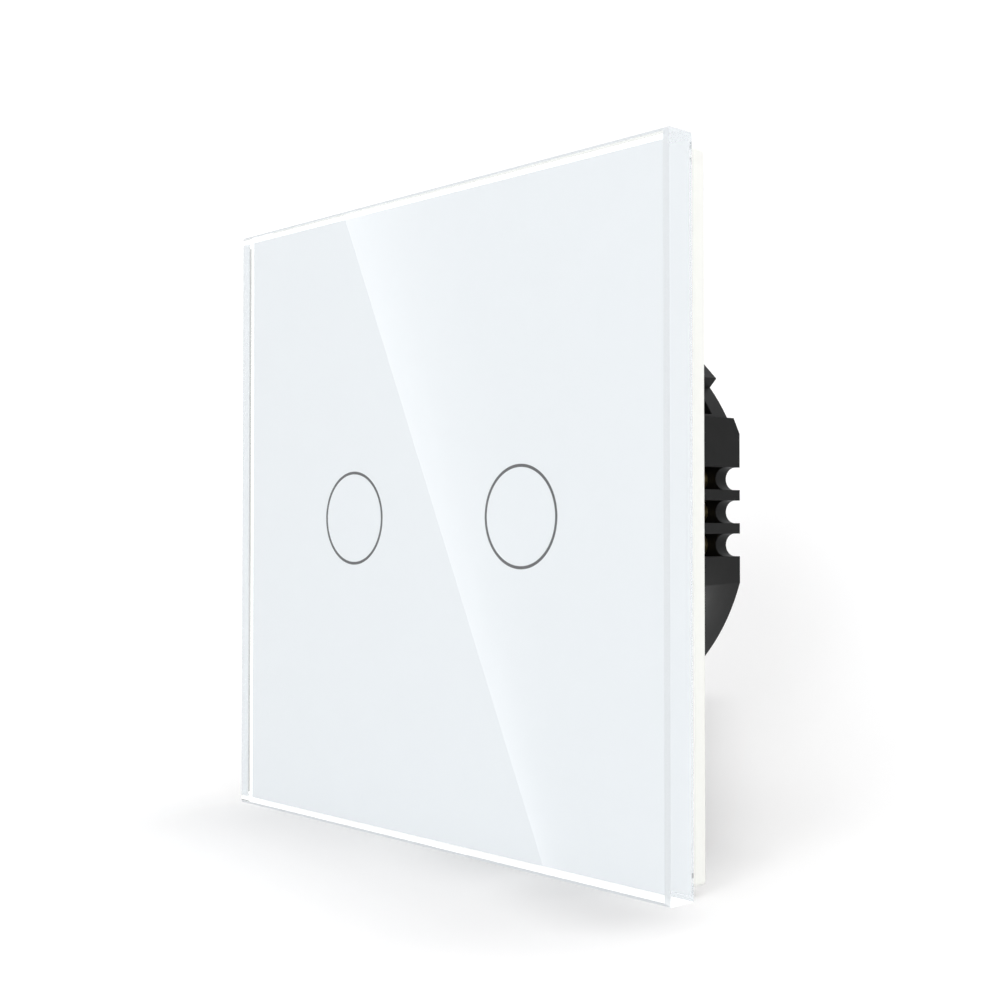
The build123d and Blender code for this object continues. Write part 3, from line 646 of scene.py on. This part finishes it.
let_light_through(glass, end_in_white(glass, glass_shader))
pane.data.materials.append(glass)
dress(glass, "glass_panel")

# %% [markdown]
# The arrises are ground with a fine stone and not polished, so they are frosted: they scatter
# the light that comes through them and show as a thin grey line round the clear glass.

# %% Ground arrises
ARRIS_COLOUR = (0.712, 0.736, 0.75)
ARRIS_MOTTLE = 0.03
ARRIS_CLARITY = 0.3

ground, ground_shader = new_finish("ground_glass", ARRIS_COLOUR, roughness=0.35)
ground_shader.inputs["Transmission Weight"].default_value = ARRIS_CLARITY
ground_shader.inputs["IOR"].default_value = GLASS_IOR
arris_darker = [value * (1 - ARRIS_MOTTLE) for value in ARRIS_COLOUR]
arris_lighter = [value * (1 + ARRIS_MOTTLE) for value in ARRIS_COLOUR]
add_mottle(ground, ground_shader, arris_darker, arris_lighter, size=0.2 * MM)
let_light_through(ground, ground_shader)
pane.data.materials.append(ground)
print("arrises:", sum(face.material_index for face in pane.data.polygons), "frosted faces")

# %% [markdown]
# ## Paint, rings and tape
#
# White paint is fired on the back of the glass, and the two touch marks are rings in a grey
# ink. Behind glass paint has no shine of its own, so its specular goes to zero, and only a
# faint cloudiness breaks the flat tone. The tape that holds the glass on the rim is a soft,
# slightly rough foam.

# %% Paint, ink and tape
paint, paint_shader = new_finish("white_paint", (0.86, 0.89, 0.915), roughness=0.6, specular=0.0)
add_mottle(paint, paint_shader, (0.857, 0.888, 0.913), (0.863, 0.893, 0.917), size=6 * MM)
dress(paint, "back_print")

ink, ink_shader = new_finish("ring_ink", (0.13, 0.133, 0.137), roughness=0.6, specular=0.0)
add_mottle(ink, ink_shader, (0.125, 0.128, 0.132), (0.137, 0.14, 0.144), size=0.8 * MM)
dress(ink, "touch_rings")

tape, tape_shader = new_finish("bonding_tape", (0.82, 0.82, 0.81), roughness=0.7)
add_mottle(tape, tape_shader, (0.8, 0.8, 0.79), (0.85, 0.85, 0.84), size=0.4 * MM)
add_grain(tape, tape_shader, size=0.2 * MM, depth=0.02 * MM, strength=0.5)
dress(tape, "adhesive_frame")

# %% [markdown]
# ## White rim
#
# The rim is moulded in a warm white plastic with a satin skin. The skin is a very fine grain
# that only breaks up the shine. A little subsurface light, as real plastic has, could be added
# too, but at this size it changes nothing that the camera sees.

# %% White plastic
white_plastic, white_shader = new_finish("white_plastic", (0.94, 0.945, 0.9), roughness=0.35)
add_mottle(white_plastic, white_shader, (0.935, 0.94, 0.895), (0.95, 0.953, 0.912), size=9 * MM)
add_uneven_gloss(white_plastic, white_shader, low=0.3, high=0.42, size=3 * MM)
add_grain(white_plastic, white_shader, size=0.12 * MM, depth=0.006 * MM, strength=0.35, edge=0.12 * MM)
dress(white_plastic, "panel_carrier")

# %% [markdown]
# ## Black body
#
# The cup and the lid are moulded in black plastic from a mould with a spark-eroded skin, so
# the surface is a fine, even grain with a dull shine. Moulded edges are never knife sharp: the
# Bevel node rounds the light on them without touching the parts.

# %% Black plastic
black_plastic, black_shader = new_finish("black_plastic", (0.0095, 0.0095, 0.0092), roughness=0.42,
                                         specular=0.11)
add_mottle(black_plastic, black_shader, (0.0082, 0.0082, 0.008), (0.0112, 0.0112, 0.0108), size=2.5 * MM)
add_uneven_gloss(black_plastic, black_shader, low=0.38, high=0.5, size=1.2 * MM)
add_grain(black_plastic, black_shader, size=0.09 * MM, depth=0.01 * MM, strength=0.5, edge=0.18 * MM)
dress(black_plastic, "base_housing", "front_cover")

# %% [markdown]
# ## The steel plate
#
# The plate is pressed from zinc-plated sheet. Rolling leaves fine lines in one direction, so
# the noise is drawn out along X, in the tone and the shine as well as in the relief.

# %% Plated steel
plated, plated_shader = new_finish("plated_steel", (0.72, 0.73, 0.74), roughness=0.32, metallic=1.0)
add_mottle(plated, plated_shader, (0.68, 0.69, 0.7), (0.76, 0.77, 0.775), size=3 * MM, stretch=(8, 1, 1))
add_uneven_gloss(plated, plated_shader, low=0.24, high=0.42, size=0.5 * MM, stretch=(30, 1, 1))
add_grain(plated, plated_shader, size=0.12 * MM, depth=0.004 * MM, strength=0.4, stretch=(40, 1, 1),
          edge=0.15 * MM)
dress(plated, "mounting_bracket")

# %% [markdown]
# ## Screws, springs and the metal inside
#
# The screws and springs are brighter and smoother than the plate. The terminals are brass, the
# bars that carry the current are copper, and the relays have iron and bronze in them. They
# differ in colour and shine only, so one function makes them all: two close tones, and a shine
# a little above and below its middle value.

# %% Turned and pressed metals
SMOOTHEST_SHARE = 0.7
ROUGHEST_SHARE = 1.4


def turned_metal(name, low, high, roughness):
    """A bright metal with a little life in its tone and shine."""
    material, shader = new_finish(name, low, roughness, metallic=1.0)
    add_mottle(material, shader, low, high, size=0.8 * MM)
    add_uneven_gloss(material, shader, roughness * SMOOTHEST_SHARE, roughness * ROUGHEST_SHARE,
                     size=0.3 * MM)
    add_grain(material, shader, size=0.08 * MM, depth=0.003 * MM, strength=0.3, edge=0.06 * MM)
    return material


dress(turned_metal("screw_steel", (0.64, 0.65, 0.66), (0.72, 0.73, 0.74), 0.24), "housing_screws")
dress(turned_metal("spring_steel", (0.66, 0.66, 0.68), (0.74, 0.74, 0.75), 0.2), "touch_springs")
terminals = [f"terminal_{kind}_{i}" for kind in ("screw", "clamp") for i in (1, 2, 3)]
dress(turned_metal("terminal_brass", (0.72, 0.56, 0.27), (0.8, 0.65, 0.36), 0.3), *terminals)
dress(turned_metal("current_bar", (0.74, 0.5, 0.33), (0.82, 0.6, 0.42), 0.28), "terminal_bars")
dress(turned_metal("tinned_pin", (0.76, 0.74, 0.66), (0.82, 0.8, 0.74), 0.25), "header_pins")
dress(turned_metal("relay_iron", (0.5, 0.5, 0.51), (0.6, 0.6, 0.61), 0.35),
      "relay_yokes", "relay_armature_left", "relay_armature_right")
dress(turned_metal("contact_bronze", (0.78, 0.6, 0.42), (0.85, 0.7, 0.52), 0.25),
      "relay_fixed_contacts", "relay_moving_contact_left", "relay_moving_contact_right")

# %% [markdown]
# ## Circuit boards
#
# The circuit boards are glass fibre under a green lacquer. Copper tracks run under it side by
# side and turn at right angles, and small tinned holes join the two sides. Drawing them one by
# one would take days. Distance measured square, as a city block is, gives nested squares, and
# cutting that distance into slices turns them into tracks. Round distance to other points
# gives the holes.

# %% Circuit board
TRACK_FIELD = 7 * MM
TRACKS_IN_FIELD = 6.0
TRACK_SHARE = 0.62
HOLE_SPACING = 3.2 * MM
HOLE_SHARE = 0.1
BOARD_GREEN = (0.015, 0.13, 0.055, 1)
TRACK_GREEN = (0.035, 0.23, 0.1, 1)
TIN = (0.66, 0.66, 0.6, 1)

board, board_shader = new_finish("circuit_board", (0.02, 0.16, 0.07), roughness=0.3)
board_place = add_node(board, "ShaderNodeTexCoord").outputs["Object"]
board_turn = add_node(board, "ShaderNodeMapping")
board_turn.inputs["Rotation"].default_value = (math.radians(90), 0, 0)
join(board, board_place, board_turn.inputs["Vector"])


def board_distance(metric, spacing):
    """The distance to scattered points of the board, measured square or round."""
    cells = add_node(board, "ShaderNodeTexVoronoi", voronoi_dimensions="2D", distance=metric)
    cells.inputs["Scale"].default_value = 1 / spacing
    join(board, board_turn.outputs["Vector"], cells.inputs["Vector"])
    return cells.outputs["Distance"]


slices = maths(board, "MULTIPLY", board_distance("CHEBYCHEV", TRACK_FIELD), TRACKS_IN_FIELD)
tracks = maths(board, "GREATER_THAN", maths(board, "FRACT", slices), TRACK_SHARE)
holes = maths(board, "LESS_THAN", board_distance("EUCLIDEAN", HOLE_SPACING), HOLE_SHARE)
board_colour = blend(board, holes, blend(board, tracks, BOARD_GREEN, TRACK_GREEN), TIN)
join(board, board_colour, board_shader.inputs["Base Color"])
join(board, holes, board_shader.inputs["Metallic"])
add_grain(board, board_shader, size=0.25 * MM, depth=0.006 * MM, strength=0.3)
dress(board, "sensor_board", "power_board")

# %% [markdown]
# ## What is on the boards
#
# Chips, relays and capacitors are moulded in plastic or cast in resin. Again one function does
# for all, with two close tones, a shine that varies a little and a fine skin.

# %% Plastics and resins
DULLEST_SHARE = 1.2
SHINIEST_SHARE = 0.85


def moulded(name, low, high, roughness):
    """A plastic or resin with a faint mottle and a fine skin."""
    material, shader = new_finish(name, low, roughness)
    add_mottle(material, shader, low, high, size=0.5 * MM)
    add_uneven_gloss(material, shader, roughness * SHINIEST_SHARE, roughness * DULLEST_SHARE, size=1 * MM)
    add_grain(material, shader, size=0.1 * MM, depth=0.01 * MM, strength=0.4, edge=0.08 * MM)
    return material


dress(moulded("chip_resin", (0.018, 0.018, 0.02), (0.026, 0.026, 0.028), 0.5),
      "touch_controller", "bridge_rectifier", "header_body")
dress(moulded("resistor_body", (0.03, 0.03, 0.032), (0.05, 0.05, 0.052), 0.35), "chip_resistors")
dress(moulded("lamp_body", (0.82, 0.8, 0.62), (0.88, 0.86, 0.7), 0.3), "indicator_leds")
dress(moulded("relay_case", (0.03, 0.08, 0.28), (0.045, 0.11, 0.34), 0.3), "relay_cases")
dress(moulded("relay_base", (0.03, 0.03, 0.033), (0.045, 0.045, 0.048), 0.45), "relay_bases")
dress(moulded("bobbin_plastic", (0.74, 0.73, 0.67), (0.8, 0.79, 0.74), 0.45), "relay_bobbins")
dress(moulded("film_case", (0.62, 0.47, 0.08), (0.7, 0.55, 0.13), 0.4), "film_capacitor")
dress(moulded("can_sleeve", (0.02, 0.022, 0.035), (0.035, 0.037, 0.055), 0.25), "electrolytic_capacitors")
dress(moulded("varistor_coat", (0.04, 0.14, 0.46), (0.06, 0.18, 0.54), 0.35), "surge_varistor")
dress(moulded("fuse_coat", (0.22, 0.13, 0.08), (0.3, 0.19, 0.12), 0.45), "fuse")

# %% [markdown]
# The windings are enamelled wire, laid turn by turn round the spool. The turns are far too
# fine to model, so a wave along the spool's length gives the ridges. The Wave node draws about
# three ridges in its own unit of length, which is the size below.

# %% Copper windings
WAVE_SIZE = 0.9 * MM
WIRE_RELIEF = 0.05 * MM

winding, winding_shader = new_finish("enamelled_wire", (0.6, 0.24, 0.1), roughness=0.3, metallic=0.9)
winding_place = add_node(winding, "ShaderNodeTexCoord").outputs["Object"]
winding_wave = add_node(winding, "ShaderNodeTexWave", bands_direction="Z")
winding_wave.inputs["Scale"].default_value = 1 / WAVE_SIZE
winding_bump = add_node(winding, "ShaderNodeBump")
winding_bump.inputs["Distance"].default_value = WIRE_RELIEF
join(winding, winding_place, winding_wave.inputs["Vector"])
join(winding, winding_wave.outputs["Fac"], winding_bump.inputs["Height"])
join(winding, winding_bump.outputs["Normal"], winding_shader.inputs["Normal"])
add_mottle(winding, winding_shader, (0.56, 0.21, 0.08), (0.68, 0.3, 0.14), size=0.4 * MM)
dress(winding, "relay_windings")

# %% [markdown]
# The light guides are clear plastic tubes. They are moulded a little milky so that the ring
# glows evenly, which a rough transmission gives.

# %% Light guides
GUIDE_CLARITY = 0.9
GUIDE_IOR = 1.49

guide, guide_shader = new_finish("clear_plastic", (0.88, 0.9, 0.9), roughness=0.25)
guide_shader.inputs["Transmission Weight"].default_value = GUIDE_CLARITY
guide_shader.inputs["IOR"].default_value = GUIDE_IOR
add_grain(guide, guide_shader, size=0.15 * MM, depth=0.004 * MM, strength=0.3)
dress(guide, "light_guides")

# %% [markdown]
# ## Check and finish
#
# The last step lists every part that was left without a finish.

# %% Finish
bare = [name for name, node in nodes.items() if not node.data.materials]
print("parts without a finish:", bare)
